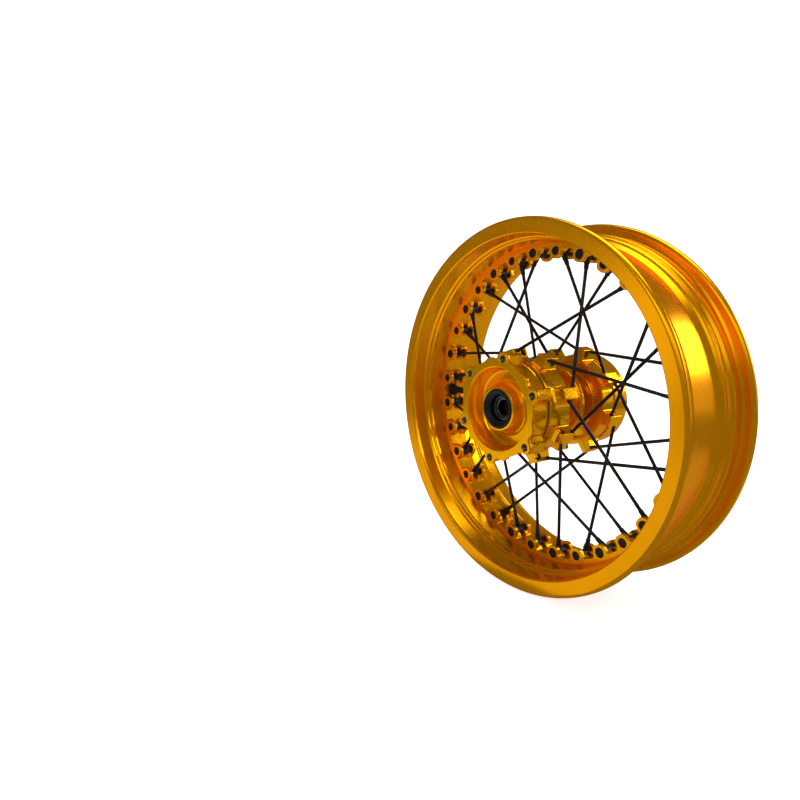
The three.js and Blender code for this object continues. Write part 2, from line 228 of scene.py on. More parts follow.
def plate(outline, y0, y1, bevel=0.6, holes=(), steps=3):
    """A bmesh pulled along the axle between two places, its edges rounded, with holes through it."""
    bm = bmesh.new()
    loops = [anticlockwise(outline)] + [anticlockwise(hole)[::-1] for hole in holes]
    caps = ([], [])
    for loop in loops:
        rings = []
        for n in range(steps + 1):
            turn = math.pi / 2 * n / steps
            rings.append((bevel * (1 - math.sin(turn)), y0 + bevel * (1 - math.cos(turn))))
        rings += [(depth, y0 + y1 - y) for depth, y in reversed(rings)]
        made = []
        for depth, y in rings:
            made.append([bm.verts.new(Vector((p.x, y, p.y)) * MM) for p in inset(loop, depth)])
        for first, second in zip(made, made[1:]):
            for i in range(len(first)):
                after = (i + 1) % len(first)
                bm.faces.new((first[i], first[after], second[after], second[i]))
        caps[0].append(made[0])
        caps[1].append(made[-1])
    for cap in caps:
        edges = []
        for ring in cap:
            for i in range(len(ring)):
                edges.append(bm.edges.get((ring[i], ring[(i + 1) % len(ring)])))
        bmesh.ops.triangle_fill(bm, use_beauty=True, edges=edges)
    bmesh.ops.recalc_face_normals(bm, faces=bm.faces)
    return bm


def moved(bm, matrix):
    bmesh.ops.transform(bm, matrix=matrix, verts=bm.verts)
    return bm


def spun(bm, angle):
    """Turned about the axle, so that +X goes to the given angle."""
    return moved(bm, Matrix.Rotation(-angle, 4, "Y"))


def placed(bm, start, end):
    """A solid made along the axle from the origin, laid from one point towards another (in millimetres)."""
    way = (end - start).normalized()
    turn = AXLE.rotation_difference(way).to_matrix().to_4x4()
    return moved(bm, Matrix.Translation(start * MM) @ turn)


def joined(parts):
    """Several bmeshes as one; the parts are used up."""
    bm = bmesh.new()
    for part in parts:
        mesh = bpy.data.meshes.new("part")
        part.to_mesh(mesh)
        part.free()
        bm.from_mesh(mesh)
        bpy.data.meshes.remove(mesh)
    return bm


def cut(bm, cutters):
    """bm with the cutters taken away from it."""
    objects = []
    for part in (bm, joined(cutters)):
        mesh = bpy.data.meshes.new("cut")
        part.to_mesh(mesh)
        part.free()
        piece = bpy.data.objects.new("cut", mesh)
        bpy.context.scene.collection.objects.link(piece)
        objects.append(piece)
    boolean = objects[0].modifiers.new("cut", "BOOLEAN")
    boolean.operation = "DIFFERENCE"
    boolean.solver = "EXACT"
    boolean.use_self = True
    boolean.object = objects[1]
    graph = bpy.context.evaluated_depsgraph_get()
    result = bmesh.new()
    result.from_mesh(objects[0].evaluated_get(graph).to_mesh())
    for piece in objects:
        mesh = piece.data
        bpy.data.objects.remove(piece)
        bpy.data.meshes.remove(mesh)
    bmesh.ops.remove_doubles(result, verts=result.verts, dist=0.002 * MM)
    return result


def piece(name, bm, material, body, slot, nodes=(), crease=28):
    """A finished piece of the object, riding on its body and standing for its CAD nodes."""
    mesh = bpy.data.meshes.new(name)
    bm.to_mesh(mesh)
    bm.free()
    mesh.materials.append(material)
    mesh.polygons.foreach_set("use_smooth", [True] * len(mesh.polygons))
    mesh.set_sharp_from_angle(angle=math.radians(crease))
    obj = bpy.data.objects.new(name, mesh)
    bpy.context.scene.collection.objects.link(obj)
    flat = obj.modifiers.new("flat_faces", "WEIGHTED_NORMAL")
    flat.mode = "FACE_AREA"
    flat.keep_sharp = True
    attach(obj, body)
    if nodes:
        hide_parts(*nodes)
    return obj


# ---------------------------------------------------------------- materials


class Nodes:
    """A small helper that adds and links shader nodes."""

    def __init__(self, name):
        self.material = bpy.data.materials.new(name)
        self.material.use_nodes = True
        self.tree = self.material.node_tree
        self.shader = self.tree.nodes["Principled BSDF"]

    def add(self, kind, settings=None, **inputs):
        node = self.tree.nodes.new(kind)
        for key, value in (settings or {}).items():
            setattr(node, key, value)
        for key, value in inputs.items():
            socket = node.inputs[int(key[1:])] if key[0] == "i" and key[1:].isdigit() else node.inputs[key]
            if isinstance(value, bpy.types.NodeSocket):
                self.tree.links.new(value, socket)
            else:
                socket.default_value = value
        return node

    def noise(self, vector, scale, detail=2.0, roughness=0.5):
        node = self.add("ShaderNodeTexNoise", Vector=vector, Scale=scale, Detail=detail, Roughness=roughness)
        return node.outputs["Fac"]

    def spread(self, value, low, high):
        """A 0 to 1 texture value as a number between low and high, its middle part stretched out."""
        node = self.add("ShaderNodeMapRange", i0=value, i1=0.3, i2=0.7, i3=low, i4=high)
        return node.outputs["Result"]

    def blend(self, factor, first, second):
        node = self.add("ShaderNodeMix", {"data_type": "RGBA"}, i0=factor)
        for socket, colour in ((node.inputs[6], first), (node.inputs[7], second)):
            if isinstance(colour, bpy.types.NodeSocket):
                self.tree.links.new(colour, socket)
            else:
                socket.default_value = colour
        return node.outputs[2]

    def math(self, operation, first, second=0.0):
        return self.add("ShaderNodeMath", {"operation": operation}, i0=first, i1=second).outputs[0]

    def bump(self, height, strength, distance, normal=None):
        inputs = {"Height": height, "Strength": strength, "Distance": distance}
        if normal is not None:
            inputs["Normal"] = normal
        return self.add("ShaderNodeBump", **inputs).outputs["Normal"]

    def link(self, output, name):
        self.tree.links.new(output, self.shader.inputs[name])


def grey(level):
    return (level, level, level, 1)


def place_of(nodes):
    return nodes.add("ShaderNodeTexCoord").outputs["Object"]


def turned_place(nodes, place):
    """(radius, y, 0) of a point, so that a texture on it runs in rings about the axle."""
    flat = nodes.add("ShaderNodeVectorMath", {"operation": "MULTIPLY"}, i0=place, i1=(1.0, 0.0, 1.0))
    radius = nodes.add("ShaderNodeVectorMath", {"operation": "LENGTH"}, i0=flat.outputs[0]).outputs["Value"]
    y = nodes.add("ShaderNodeSeparateXYZ", Vector=place).outputs["Y"]
    return nodes.add("ShaderNodeCombineXYZ", X=radius, Y=y).outputs[0]


def gold_material(name, rough, ring_depth, green):
    """Satin gold-anodised aluminium: faint turning rings, a soft unevenness in the dye and a fine grain."""
    nodes = Nodes(name)
    place = place_of(nodes)
    rings = nodes.noise(turned_place(nodes, place), 2600.0, 3.0, 0.6)
    grain = nodes.noise(place, 3200.0, 2.0, 0.6)
    mottle = nodes.noise(place, 22.0, 4.0, 0.55)
    smear = nodes.noise(place, 150.0, 3.0, 0.6)
    thin_dye = (0.95, green * 1.08, 0.0018, 1)
    dye = (0.90, green, 0.0014, 1)
    deep_dye = (0.83, green * 0.87, 0.0014, 1)
    colour = nodes.blend(nodes.spread(mottle, 0.0, 1.0), dye, thin_dye)
    colour = nodes.blend(nodes.spread(smear, 0.0, 0.3), colour, deep_dye)
    nodes.link(colour, "Base Color")
    roughness = nodes.spread(mottle, rough - 0.015, rough + 0.02)
    roughness = nodes.math("ADD", roughness, nodes.spread(rings, -0.02, 0.02))
    roughness = nodes.math("ADD", roughness, nodes.spread(grain, -0.015, 0.015))
    nodes.link(roughness, "Roughness")
    normal = nodes.bump(rings, ring_depth, 0.00005)
    nodes.link(nodes.bump(grain, 0.03, 0.00004, normal), "Normal")
    nodes.shader.inputs["Metallic"].default_value = 0.84
    nodes.shader.inputs["Specular Tint"].default_value = (1.0, 0.5, 0.06, 1)
    return nodes.material


def black_material(name, rough, speck):
    """Black satin coating: a fine orange-peel, slightly uneven gloss and a warm worn tint."""
    nodes = Nodes(name)
    place = place_of(nodes)
    peel = nodes.noise(place, 1500.0, 2.0, 0.5)
    patch = nodes.noise(place, 70.0, 4.0, 0.6)
    fresh, worn = (0.0022, 0.0020, 0.0018, 1), (0.0060, 0.0054, 0.0048, 1)
    nodes.link(nodes.blend(nodes.spread(patch, 0.0, 1.0), fresh, worn), "Base Color")
    roughness = nodes.spread(patch, rough - 0.06, rough + 0.06)
    roughness = nodes.math("ADD", roughness, nodes.spread(peel, -0.03, 0.03))
    nodes.link(roughness, "Roughness")
    nodes.link(nodes.bump(peel, speck, 0.00008), "Normal")
    nodes.shader.inputs["Specular IOR Level"].default_value = 0.32
    return nodes.material


def steel_material(name, bright):
    """Turned steel with fine rings, bright where it is ground and dark where it is blackened."""
    nodes = Nodes(name)
    low = (bright * 0.84, bright * 0.82, bright * 0.80, 1)
    high = (bright * 1.16, bright * 1.12, bright * 1.08, 1)
    place = place_of(nodes)
    rings = nodes.noise(turned_place(nodes, place), 3800.0, 3.0, 0.6)
    stain = nodes.noise(place, 120.0, 3.0, 0.6)
    nodes.link(nodes.blend(nodes.spread(stain, 0.0, 1.0), low, high), "Base Color")
    roughness = nodes.math("ADD", nodes.spread(stain, 0.24, 0.34), nodes.spread(rings, -0.04, 0.05))
    nodes.link(roughness, "Roughness")
    nodes.link(nodes.bump(rings, 0.25, 0.0001), "Normal")
    nodes.shader.inputs["Metallic"].default_value = 1.0
    return nodes.material


def rubber_material():
    """Moulded black rubber, matt with a fine tooth."""
    nodes = Nodes("moulded_rubber")
    place = place_of(nodes)
    tooth = nodes.noise(place, 1800.0, 3.0, 0.6)
    bloom = nodes.noise(place, 90.0, 4.0, 0.6)
    clean, dusty = grey(0.0025), (0.006, 0.006, 0.0055, 1)
    nodes.link(nodes.blend(nodes.spread(bloom, 0.0, 1.0), clean, dusty), "Base Color")
    roughness = nodes.math("ADD", nodes.spread(bloom, 0.42, 0.55), nodes.spread(tooth, -0.05, 0.05))
    nodes.link(roughness, "Roughness")
    nodes.link(nodes.bump(tooth, 0.3, 0.0001), "Normal")
    nodes.shader.inputs["Specular IOR Level"].default_value = 0.25
    return nodes.material


def brass_material():
    """Slightly tarnished brass, for the valve's core pin."""
    nodes = Nodes("turned_brass")
    place = place_of(nodes)
    tarnish = nodes.noise(place, 900.0, 3.0, 0.6)
    dull, bright = (0.52, 0.33, 0.10, 1), (0.72, 0.50, 0.20, 1)
    nodes.link(nodes.blend(nodes.spread(tarnish, 0.0, 1.0), dull, bright), "Base Color")
    nodes.link(nodes.spread(tarnish, 0.25, 0.4), "Roughness")
    nodes.link(nodes.bump(tarnish, 0.2, 0.00008), "Normal")
    nodes.shader.inputs["Metallic"].default_value = 1.0
    return nodes.material


RIM_GOLD = gold_material("rim_gold", 0.24, 0.10, 0.360)
HUB_GOLD = gold_material("hub_gold", 0.17, 0.08, 0.405)
SPOKE_BLACK = black_material("spoke_black", 0.36, 0.25)
PIN_BLACK = black_material("pin_black", 0.45, 0.35)
VALVE_BLACK = black_material("valve_black", 0.34, 0.2)
STEEL = steel_material("ground_steel", 0.5)
DARK_STEEL = steel_material("blackened_steel", 0.13)
RUBBER = rubber_material()
BRASS = brass_material()

# ---------------------------------------------------------------- rim


def rim_side(side):
    """Half of the rim's section from the well out over the flange's tip and back underneath."""
    outside = [
        (209.0, 20.8, 3.0), (213.0, 28.2, 1.2), (216.0, 30.2, 1.8), (214.6, 32.4, 0.8), (217.0, 34.6, 1.8),
        (215.0, 37.6, 1.5), (215.2, 41.2, 1.5), (219.6, 44.8, 2.6), (218.0, 48.6, 1.0), (218.3, 58.0, 1.2),
        (221.0, 59.6, 1.6),
    ]
    sweep = math.radians(208)
    tip = []
    for n in range(15):
        angle = sweep - n * sweep / 14
        tip.append((TIP_CENTRE_R + TIP_R * math.sin(angle), TIP_CENTRE_Y + TIP_R * math.cos(angle), 0.0))
    underneath = [
        (213.0, 69.2, 1.0), (211.6, 67.6, 1.6), (212.0, 63.0, 0.8), (210.6, 46.9, 0.7), (207.7, 44.6, 2.0),
        (208.4, 41.2, 0.7), (205.9, 38.9, 2.0), (206.3, 34.6, 1.4), (203.8, EAR_FACE_Y + 1.2, 0.3),
        (203.6, EAR_FACE_Y, 0.0),
    ]
    return [(r, side * y, fillet) for r, y, fillet in outside + tip + underneath]


def rim_barrel():
    section = rim_side(1) + rim_side(-1)[::-1]
    return turned(filleted(section, chord=0.9), RIM_SEGMENTS)


def ear_outline(tip_r):
    """The ear ring's inner outline: a round ear for each cross pin, with a scallop between two."""
    unit = [
        (VALLEY_R, -EAR_ROOT_HALF - 0.6, 2.2), (PIN_CIRCLE_R + 1.0, -EAR_R - 0.1, 3.0),
        (tip_r, -EAR_R * 0.72, EAR_R * 0.8), (tip_r, EAR_R * 0.72, EAR_R * 0.8),
        (PIN_CIRCLE_R + 1.0, EAR_R + 0.1, 3.0), (VALLEY_R, EAR_ROOT_HALF + 0.6, 2.2),
    ]
    return filleted(repeated(unit, EARS, EAR_PHASE), chord=0.8)


def ear_ring():
    """The ring of ears: two cheeks with the pins' holes, and a shoulder beside the spokes' slot."""
    centres = [polar(PIN_CIRCLE_R, EAR_PHASE + n * EAR_STEP) for n in range(EARS)]
    edge = circle(RING_OUTER_R, count=RIM_SEGMENTS)
    holes = [circle(PIN_R[n % 2] + 0.25, (at.x, at.z), 28) for n, at in enumerate(centres)]
    cheek_inside = ear_outline(PIN_CIRCLE_R - EAR_R)
    shoulder_inside = ear_outline(POCKET_TOP_R)
    parts = []
    for side in (-1, 1):
        near, far = sorted((side * POCKET_HALF, side * EAR_FACE_Y))
        parts.append(plate(edge, near, far, 0.7, [cheek_inside, *holes]))
        near, far = sorted((side * SLOT_HALF, side * (POCKET_HALF + 1.2)))
        parts.append(plate(edge, near, far, 0.4, [shoulder_inside], steps=2))
    middle = [(VALLEY_R + 0.2, -SLOT_HALF - 1), (RING_OUTER_R, -SLOT_HALF - 1),
              (RING_OUTER_R, SLOT_HALF + 1), (VALLEY_R + 0.2, SLOT_HALF + 1)]
    parts.append(turned(middle, RIM_SEGMENTS))
    return joined(parts)


def make_rim():
    piece("rim_barrel", rim_barrel(), RIM_GOLD, "wheel", "gold_anodised", ["rim"])
    piece("rim_ears", ear_ring(), RIM_GOLD, "wheel", "gold_anodised", ["rim"])


# ---------------------------------------------------------------- spokes


def spoke_lines(flange):
    """Each lug's two spokes, as a point in the lug and a point on the cross pin."""
    lines = []
    for lug in range(LUGS):
        for sense in (1, -1):
            angle = flange["phase"] + lug * LUG_STEP
            start = polar(LUG_HOLE_R, angle, flange["y"] - sense * flange["side"] * SPOKE_SPREAD)
            end_y = -LEADING_END_Y if sense > 0 else TRAILING_END_Y
            end = polar(PIN_CIRCLE_R, angle + sense * LACING, flange["side"] * end_y)
            lines.append((start, end))
    return lines


def ear_number(point):
    return round((math.atan2(point.z, point.x) - EAR_PHASE) / EAR_STEP) % EARS


def spoke_shaft(start, end):
    """A straight-pull spoke: its flat head, the shaft, and a thread that runs into the nipple."""
    length = (end - start).length
    head = -HEAD_SEAT
    profile = [
        (0, head - HEAD_LENGTH, 0), (HEAD_R, head - HEAD_LENGTH, 0.5), (HEAD_R, head - 0.9, 0.4),
        (SPOKE_R + 0.5, head, 0.3), (SPOKE_R + 0.25, head + 3, 0.5), (SPOKE_R, head + 16, 2.0),
        (SPOKE_R, length - 30, 2.0), (SPOKE_R + 0.2, length - 24, 0.5), (SPOKE_R + 0.2, length - 4, 0.2),
        (0, length - 4, 0),
    ]
    return placed(turned(filleted(profile, closed=False), 20), start, end)


def nipple(start, end, pin_r):
    """The nipple, its barrel across the ear and the cross pin with a recessed end on each side."""
    length = (end - start).length
    neck = length - NIPPLE_LENGTH
    profile = [
        (0, neck, 0), (2.6, neck, 0.3), (2.9, neck + 0.8, 0.3), (3.0, neck + 6, 1.0),
        (NIPPLE_R, neck + 7.4, 0.4), (NIPPLE_R, length - 3, 0.3), (NIPPLE_R + 0.6, length - 2, 0.3),
        (NIPPLE_R + 0.6, length + 1.6, 0.4), (0, length + 1.6, 0),
    ]
    parts = [placed(turned(filleted(profile, closed=False), 18), start, end)]
    middle = Matrix.Translation(Vector((end.x, 0, end.z)) * MM)
    barrel_end = POCKET_HALF - 0.4
    barrel = [
        (0, -barrel_end, 0), (BARREL_R, -barrel_end, 0.6),
        (BARREL_R, barrel_end, 0.6), (0, barrel_end, 0),
    ]
    parts.append(moved(turned(filleted(barrel, closed=False), 24), middle))
    face = EAR_FACE_Y - 0.5
    recess = face - 0.8
    pin = []
    for side in (-1, 1):
        half = [
            (0, side * recess, 0), (pin_r * 0.5, side * recess, 0.3), (pin_r * 0.62, side * face, 0.2),
            (pin_r, side * face, 0.7), (pin_r, 0, 0),
        ]
        pin += half if side < 0 else half[::-1]
    parts.append(moved(turned(filleted(pin, closed=False), 28), middle))
    return joined(parts)


def make_spokes():
    for side, flange in (("near", NEAR_FLANGE), ("far", FAR_FLANGE)):
        for n, (start, end) in enumerate(spoke_lines(flange), 1):
            node = f"spoke_{side}_{n:02d}"
            shaft = spoke_shaft(start, end)
            piece(f"{side}_spoke_{n:02d}", shaft, SPOKE_BLACK, "wheel", "black_spoke", [node])
            fitting = nipple(start, end, PIN_R[ear_number(end) % 2])
            piece(f"{side}_nipple_{n:02d}", fitting, PIN_BLACK, "wheel", "black_spoke", [node])


# ---------------------------------------------------------------- hub shell


def spoke_cutters(flange):
    """What is cut from the lugs for each spoke: its hole, and the seat behind its head."""
    hole_r, seat_r = SPOKE_R + 0.7, HEAD_R + 0.7
    bottom = -HEAD_SEAT - 1
    cutters = []
    for start, end in spoke_lines(flange):
        shaft = turned([(0, bottom), (hole_r, bottom), (hole_r, 20), (0, 20)], 20)
        seat = turned([(0, -15), (seat_r, -15), (seat_r, -HEAD_SEAT), (0, -HEAD_SEAT)], 24)
        cutters += [placed(shaft, start, end), placed(seat, start, end)]
    return cutters


def lug_ring(flange):
    """One flange's eight lugs on a thin ring, each with a fillet down to the ring."""
    side_way, ring_end = LUG_FOOT_HALF + 0.4, LUG_FOOT_HALF + 6.0
    foot = math.sqrt(FLANGE_R ** 2 - side_way ** 2)
    ring = math.sqrt(FLANGE_R ** 2 - ring_end ** 2)
    unit = [
        (ring, -ring_end, 0.0), (foot, -side_way, 3.2), (LUG_TOP_R, -LUG_TOP_HALF, 1.3),
        (LUG_TOP_R, LUG_TOP_HALF, 1.3), (foot, side_way, 3.2), (ring, ring_end, 0.0),
    ]
    points = []
    for n in range(LUGS):
        angle = flange["phase"] + n * LUG_STEP
        points += repeated(unit, 1, angle)
        middle = angle + LUG_STEP / 2
        points.append((FLANGE_R * math.cos(middle), FLANGE_R * math.sin(middle), 0.0))
    outline = filleted(points, chord=0.7)
    y0, y1 = flange["y"] - flange["half"], flange["y"] + flange["half"]
    return plate(outline, y0, y1, 1.0, [circle(LUG_RING_BORE_R, count=96)])


def hub_flanges():
    return [cut(lug_ring(flange), spoke_cutters(flange)) for flange in (NEAR_FLANGE, FAR_FLANGE)]


def lug_foot():
    """The hollow ramp behind a near lug, from its back face down to the hub's drum, along +X."""
    back = NEAR_FLANGE["y"] - NEAR_FLANGE["half"]
    profile = [
        (55.0, back + 3.0, 0.0), (LUG_TOP_R - 6.0, back + 3.0, 0.0), (LUG_TOP_R - 6.0, back + 0.3, 0.0),
        (LUG_TOP_R - 8.0, back - 0.5, 4.0), (61.0, back - 2.4, 3.0), (59.2, back - 5.6, 0.6),
        (55.0, back - 5.6, 0.0),
    ]
    outline = filleted(profile, chord=0.4)
    flat = plate([Vector((a, b)) for a, b in outline], -LUG_FOOT_HALF + 0.6, LUG_FOOT_HALF - 0.6, 0.5)
    return moved(flat, Matrix(((1, 0, 0, 0), (0, 0, 1, 0), (0, 1, 0, 0), (0, 0, 0, 1))))


def hub_body():
    """The hub's spool: near drum, neck with its collar, the far flange's recess and the disc's drum."""
    near_drum = [
        (24.0, -66.0, 0.4), (57.8, -66.0, 0.2), (59.0, -64.9, 0.3), (58.9, -31.9, 0.0),
        (57.8, -31.0, 0.4),
    ]
    neck = [(46.0, -31.0, 3.0), (36.5, -24.0, 5.0), (36.0, 3.0, 2.0)]
    collar = [(42.0, 3.6, 1.0), (46.6, 4.6, 3.6), (46.6, 12.8, 3.6), (42.0, 13.8, 1.0)]
    recess = [(36.0, 14.4, 2.0), (36.0, 39.5, 3.0), (49.8, 40.5, 1.0), (50.3, 31.4, 0.5)]
    far_flange = [(57.8, 31.0, 0.4), (58.9, 31.9, 0.0), (58.9, 52.6, 0.6)]
    disc_drum = [
        (60.5, 54.0, 0.8), (60.5, 78.5, 1.2), (58.0, 81.5, 1.2), (50.0, 81.5, 0.6), (49.0, 80.3, 0.6),
        (36.0, 80.3, 0.6), (34.5, 81.5, 0.6), (24.0, 81.5, 0.5),
    ]
    bore = [(24.0, 64.0, 0.0), (16.0, 64.0, 0.0), (16.0, -44.0, 0.0), (24.0, -44.0, 0.0)]
    outline = near_drum + neck + collar + recess + far_flange + disc_drum + bore
    return turned(filleted(outline, chord=0.8), 160)


def make_hub():
    parts = [hub_body(), *hub_flanges()]
    for n in range(LUGS):
        parts.append(spun(lug_foot(), NEAR_FLANGE["phase"] + n * LUG_STEP))
    piece("hub", joined(parts), HUB_GOLD, "wheel", "gold_anodised", ["hub_shell"])


# ---------------------------------------------------------------- sprocket carrier


def carrier_body():
    """The carrier's cup: the seal's boss, the dish with its steps, and the drum behind the disc."""
    section = [
        (23.9, -94.6, 0.3), (25.0, -95.3, 0.4), (27.2, -94.4, 0.6), (28.9, -84.0, 3.5), (32.0, -80.4, 1.0),
        (33.6, -79.6, 0.6), (34.6, -77.6, 2.5), (44.6, -76.2, 3.0), (47.0, -78.0, 1.0), (50.6, -95.2, 0.6),
        (52.2, -95.4, 0.2), (56.4, -94.0, 0.2), (56.4, -92.0, 0.8),
        (56.6, -70.4, 0.3), (57.2, -69.6, 0.3), (57.4, -68.6, 0.2), (57.0, -68.0, 0.2),
        (54.0, -67.8, 0.3), (52.0, -72.0, 0.5), (32.0, -72.0, 0.5), (24.0, -72.5, 0.3),
    ]
    return turned(filleted(section, chord=0.6), 160)


def carrier_disc():
    """The front disc with its six bolt bosses."""
    unit = [
        (59.6, -15.5, 4.0), (59.8, -11.5, 2.5), (BOLT_CIRCLE_R + 1.5, -BOSS_R - 0.2, 2.5),
        (BOLT_CIRCLE_R + BOSS_R * 0.98, -BOSS_R * 0.62, BOSS_R * 0.62),
        (BOLT_CIRCLE_R + BOSS_R * 0.98, BOSS_R * 0.62, BOSS_R * 0.62),
        (BOLT_CIRCLE_R + 1.5, BOSS_R + 0.2, 2.5), (59.8, 11.5, 2.5), (59.6, 15.5, 4.0), (60.0, 23.0, 8.0),
    ]
    points = []
    for n in range(BOSSES):
        angle = CARRIER_PHASE + n * BOSS_STEP
        points += repeated(unit, 1, angle)
        middle = angle + BOSS_STEP / 2
        points.append((60.2 * math.cos(middle), 60.2 * math.sin(middle), 20.0))
    outline = filleted(points, chord=0.6)
    holes = [circle(51.4, count=160)]
    for n in range(BOSSES):
        at = polar(BOLT_CIRCLE_R, CARRIER_PHASE + n * BOSS_STEP)
        holes.append(circle(BOLT_HOLE_R + 0.5, (at.x, at.z), 32))
    return plate(outline, CARRIER_FACE_Y, CARRIER_FACE_Y + 5.2, 0.8, holes)


def carrier_rib():
    """A rib behind a bolt boss, along +X, with its bolt hole."""
    unit = [
        (50, -10, 0), (56.5, -9.4, 1.5), (62.5, -7.4, 1.5), (67.2, -6.2, 2.4), (68.0, 0, 6.0),
        (67.2, 6.2, 2.4), (62.5, 7.4, 1.5), (56.5, 9.4, 1.5), (50, 10, 0),
    ]
    hole = circle(BOLT_HOLE_R + 0.5, (BOLT_CIRCLE_R, 0), 32)
    return plate(filleted(unit, chord=0.5), CARRIER_FACE_Y + 4.6, -68.6, 0.8, [hole])


def shaded_thread_lining():
    """A threaded bolt hole's wall, with fine rings for its thread and a floor; its very dark steel is partly
    the threads' own metal and partly painted shade deep in the hole.
    """
    depth = 15
    profile = [(BOLT_HOLE_R + 0.6, 0.9)]
    turns = 12
    for n in range(turns):
        y = 1.0 + n * depth / turns
        profile += [(BOLT_HOLE_R, y + 0.3), (BOLT_HOLE_R - 0.45, y + 0.8)]
    profile += [(0, depth + 2.0), (0, depth + 2.6), (BOLT_HOLE_R + 0.6, depth + 2.6)]
    lining = turned_open(profile, 28)
    return moved(lining, Matrix.Translation(Vector((BOLT_CIRCLE_R, CARRIER_FACE_Y, 0)) * MM))


def turned_open(profile, segments):
    """Like turned, but a profile that touches the axis in its middle stays one closed shell."""
    start = next(i for i, (radius, _) in enumerate(profile) if radius < 1e-6)
    ordered = profile[start + 1:] + profile[:start + 1]
    return turned(ordered, segments)


def make_carrier():
    parts = [carrier_body(), carrier_disc()]
    for n in range(BOSSES):
        parts.append(spun(carrier_rib(), CARRIER_PHASE + n * BOSS_STEP))
    # The dark steel linings paint shade into the bolt holes, besides standing for the threads' own steel.
    shaded_linings = [spun(shaded_thread_lining(), CARRIER_PHASE + n * BOSS_STEP) for n in range(BOSSES)]
    piece("carrier_threads_and_shade", joined(shaded_linings), DARK_STEEL, "carrier", "bearing_steel")
    piece("carrier", joined(parts), HUB_GOLD, "carrier", "gold_anodised", ["sprocket_carrier"])


# ---------------------------------------------------------------- seals, sleeves, bearings and valve


def seal(side, face_y, back_y):
    """A shaft seal: a hard rim, a recessed dish and a lip on the sleeve."""
    section = [
        (23.7, back_y, 0.2), (23.7, face_y, 0.6), (21.6, face_y, 0.5),
        (21.0, face_y - side * 1.0, 0.4), (18.6, face_y - side * 2.8, 0.8),
        (17.4, face_y - side * 4.6, 0.4), (16.2, face_y - side * 4.2, 0.3),
        (16.1, face_y - side * 6.5, 0.2), (17.0, back_y, 0.2),
    ]
    return turned(filleted(section, chord=0.3), 96)


def end_sleeve(face_y, side):
    """A stepped sleeve at an end of the hub, chamfered inside and outside at its face."""
    section = [
        (10.2, face_y - side * 3.0, 0.2), (11.6, face_y - side * 2.6, 0.2),
        (12.2, face_y - side * 0.8, 0.3), (12.6, face_y, 0.3), (14.9, face_y, 0.3),
        (15.8, face_y - side * 0.9, 0.3), (15.8, face_y - side * 11.4, 0.2),
        (12.2, face_y - side * 11.4, 0.2), (12.2, face_y - side * 17, 0.3),
        (10.2, face_y - side * 17, 0.3),
    ]
    return turned(filleted(section, chord=0.3), 96)


def valve_turned(points, segments=32):
    """A valve part turned about its own axis, which points from the rim's well to the wheel's axle."""
    bm = turned(filleted(points, closed=False, chord=0.3), segments)
    return placed(bm, polar(VALLEY_R, VALVE_ANGLE), Vector((0, 0, 0)))


def make_seals_and_sleeves():
    piece("seal_near", seal(-1, -96.2, -85.0), RUBBER, "carrier", "rubber", ["carrier_seal"])
    piece("seal_far", seal(1, 81.4, 76.5), RUBBER, "wheel", "rubber", ["hub_far_seal"])
    for side, face_y, sense in (("near", -87.0, -1), ("far", 88.0, 1)):
        sleeve = end_sleeve(face_y, sense)
        piece(f"sleeve_{side}", sleeve, DARK_STEEL, "axle_group", "bearing_steel", [f"{side}_end_sleeve"])


def make_valve():
    base = [(0, -12, 0), (4.2, -12, 0.3), (4.2, 0.9, 0), (8.9, 0.9, 0.4), (8.9, 2.6, 0.5), (7.3, 3.4, 0.5),
            (7.2, 7.6, 0.8), (5.4, 8.2, 0.5), (5.2, 12.8, 0.6), (3.8, 13.6, 0.3)]
    for n in range(4):
        base += [(3.8, 14.2 + n * 1.1, 0), (3.4, 14.7 + n * 1.1, 0)]
    base += [(3.8, 18.8, 0.2), (1.5, 18.9, 0.1), (1.5, 12, 0), (0, 12, 0)]
    piece("valve_stem", valve_turned(base), VALVE_BLACK, "wheel", "black_alloy", ["valve_body"])
    cap = [
        (0, 27.0, 0), (3.8, 27.0, 0.8), (4.7, 25.6, 0.6), (4.8, 20.0, 0.4), (4.4, 16.0, 0.3),
        (4.1, 16.0, 0.1), (4.1, 21.4, 0), (0, 21.4, 0),
    ]
    piece("valve_dust_cap", valve_turned(cap, 40), VALVE_BLACK, "valve_cap", "black_alloy", ["valve_cap"])


def finish_cad_nodes():
    """The CAD nodes that are carried over get a material of their kind."""
    for name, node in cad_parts.items():
        if node.hide_render:
            continue
        if name.startswith("cush_rubber"):
            finish = RUBBER
        elif name == "valve_core":
            finish = BRASS
        else:
            finish = STEEL
        node.data.materials.clear()
        node.data.materials.append(finish)


make_rim()
make_spokes()
make_hub()
make_carrier()
make_seals_and_sleeves()
make_valve()
finish_cad_nodes()

# ---------------------------------------------------------------- studio

CAMERA_PLACE = (0.56165, -0.63640, 0.12065)
CAMERA_AZIMUTH = 54.317
CAMERA_ELEVATION = 5.110
CAMERA_LENS = 28.776
CAMERA_SHIFT = (-0.0067, -0.0420)
WORLD_STRENGTH = 0.18
FLOOR_GLOW = 0.75
FLOOR_HALF_WIDTH = 14.0
WALL_PLACE = 4.0
WALL_BEND = 1.0
WALL_HEIGHT = 7.0

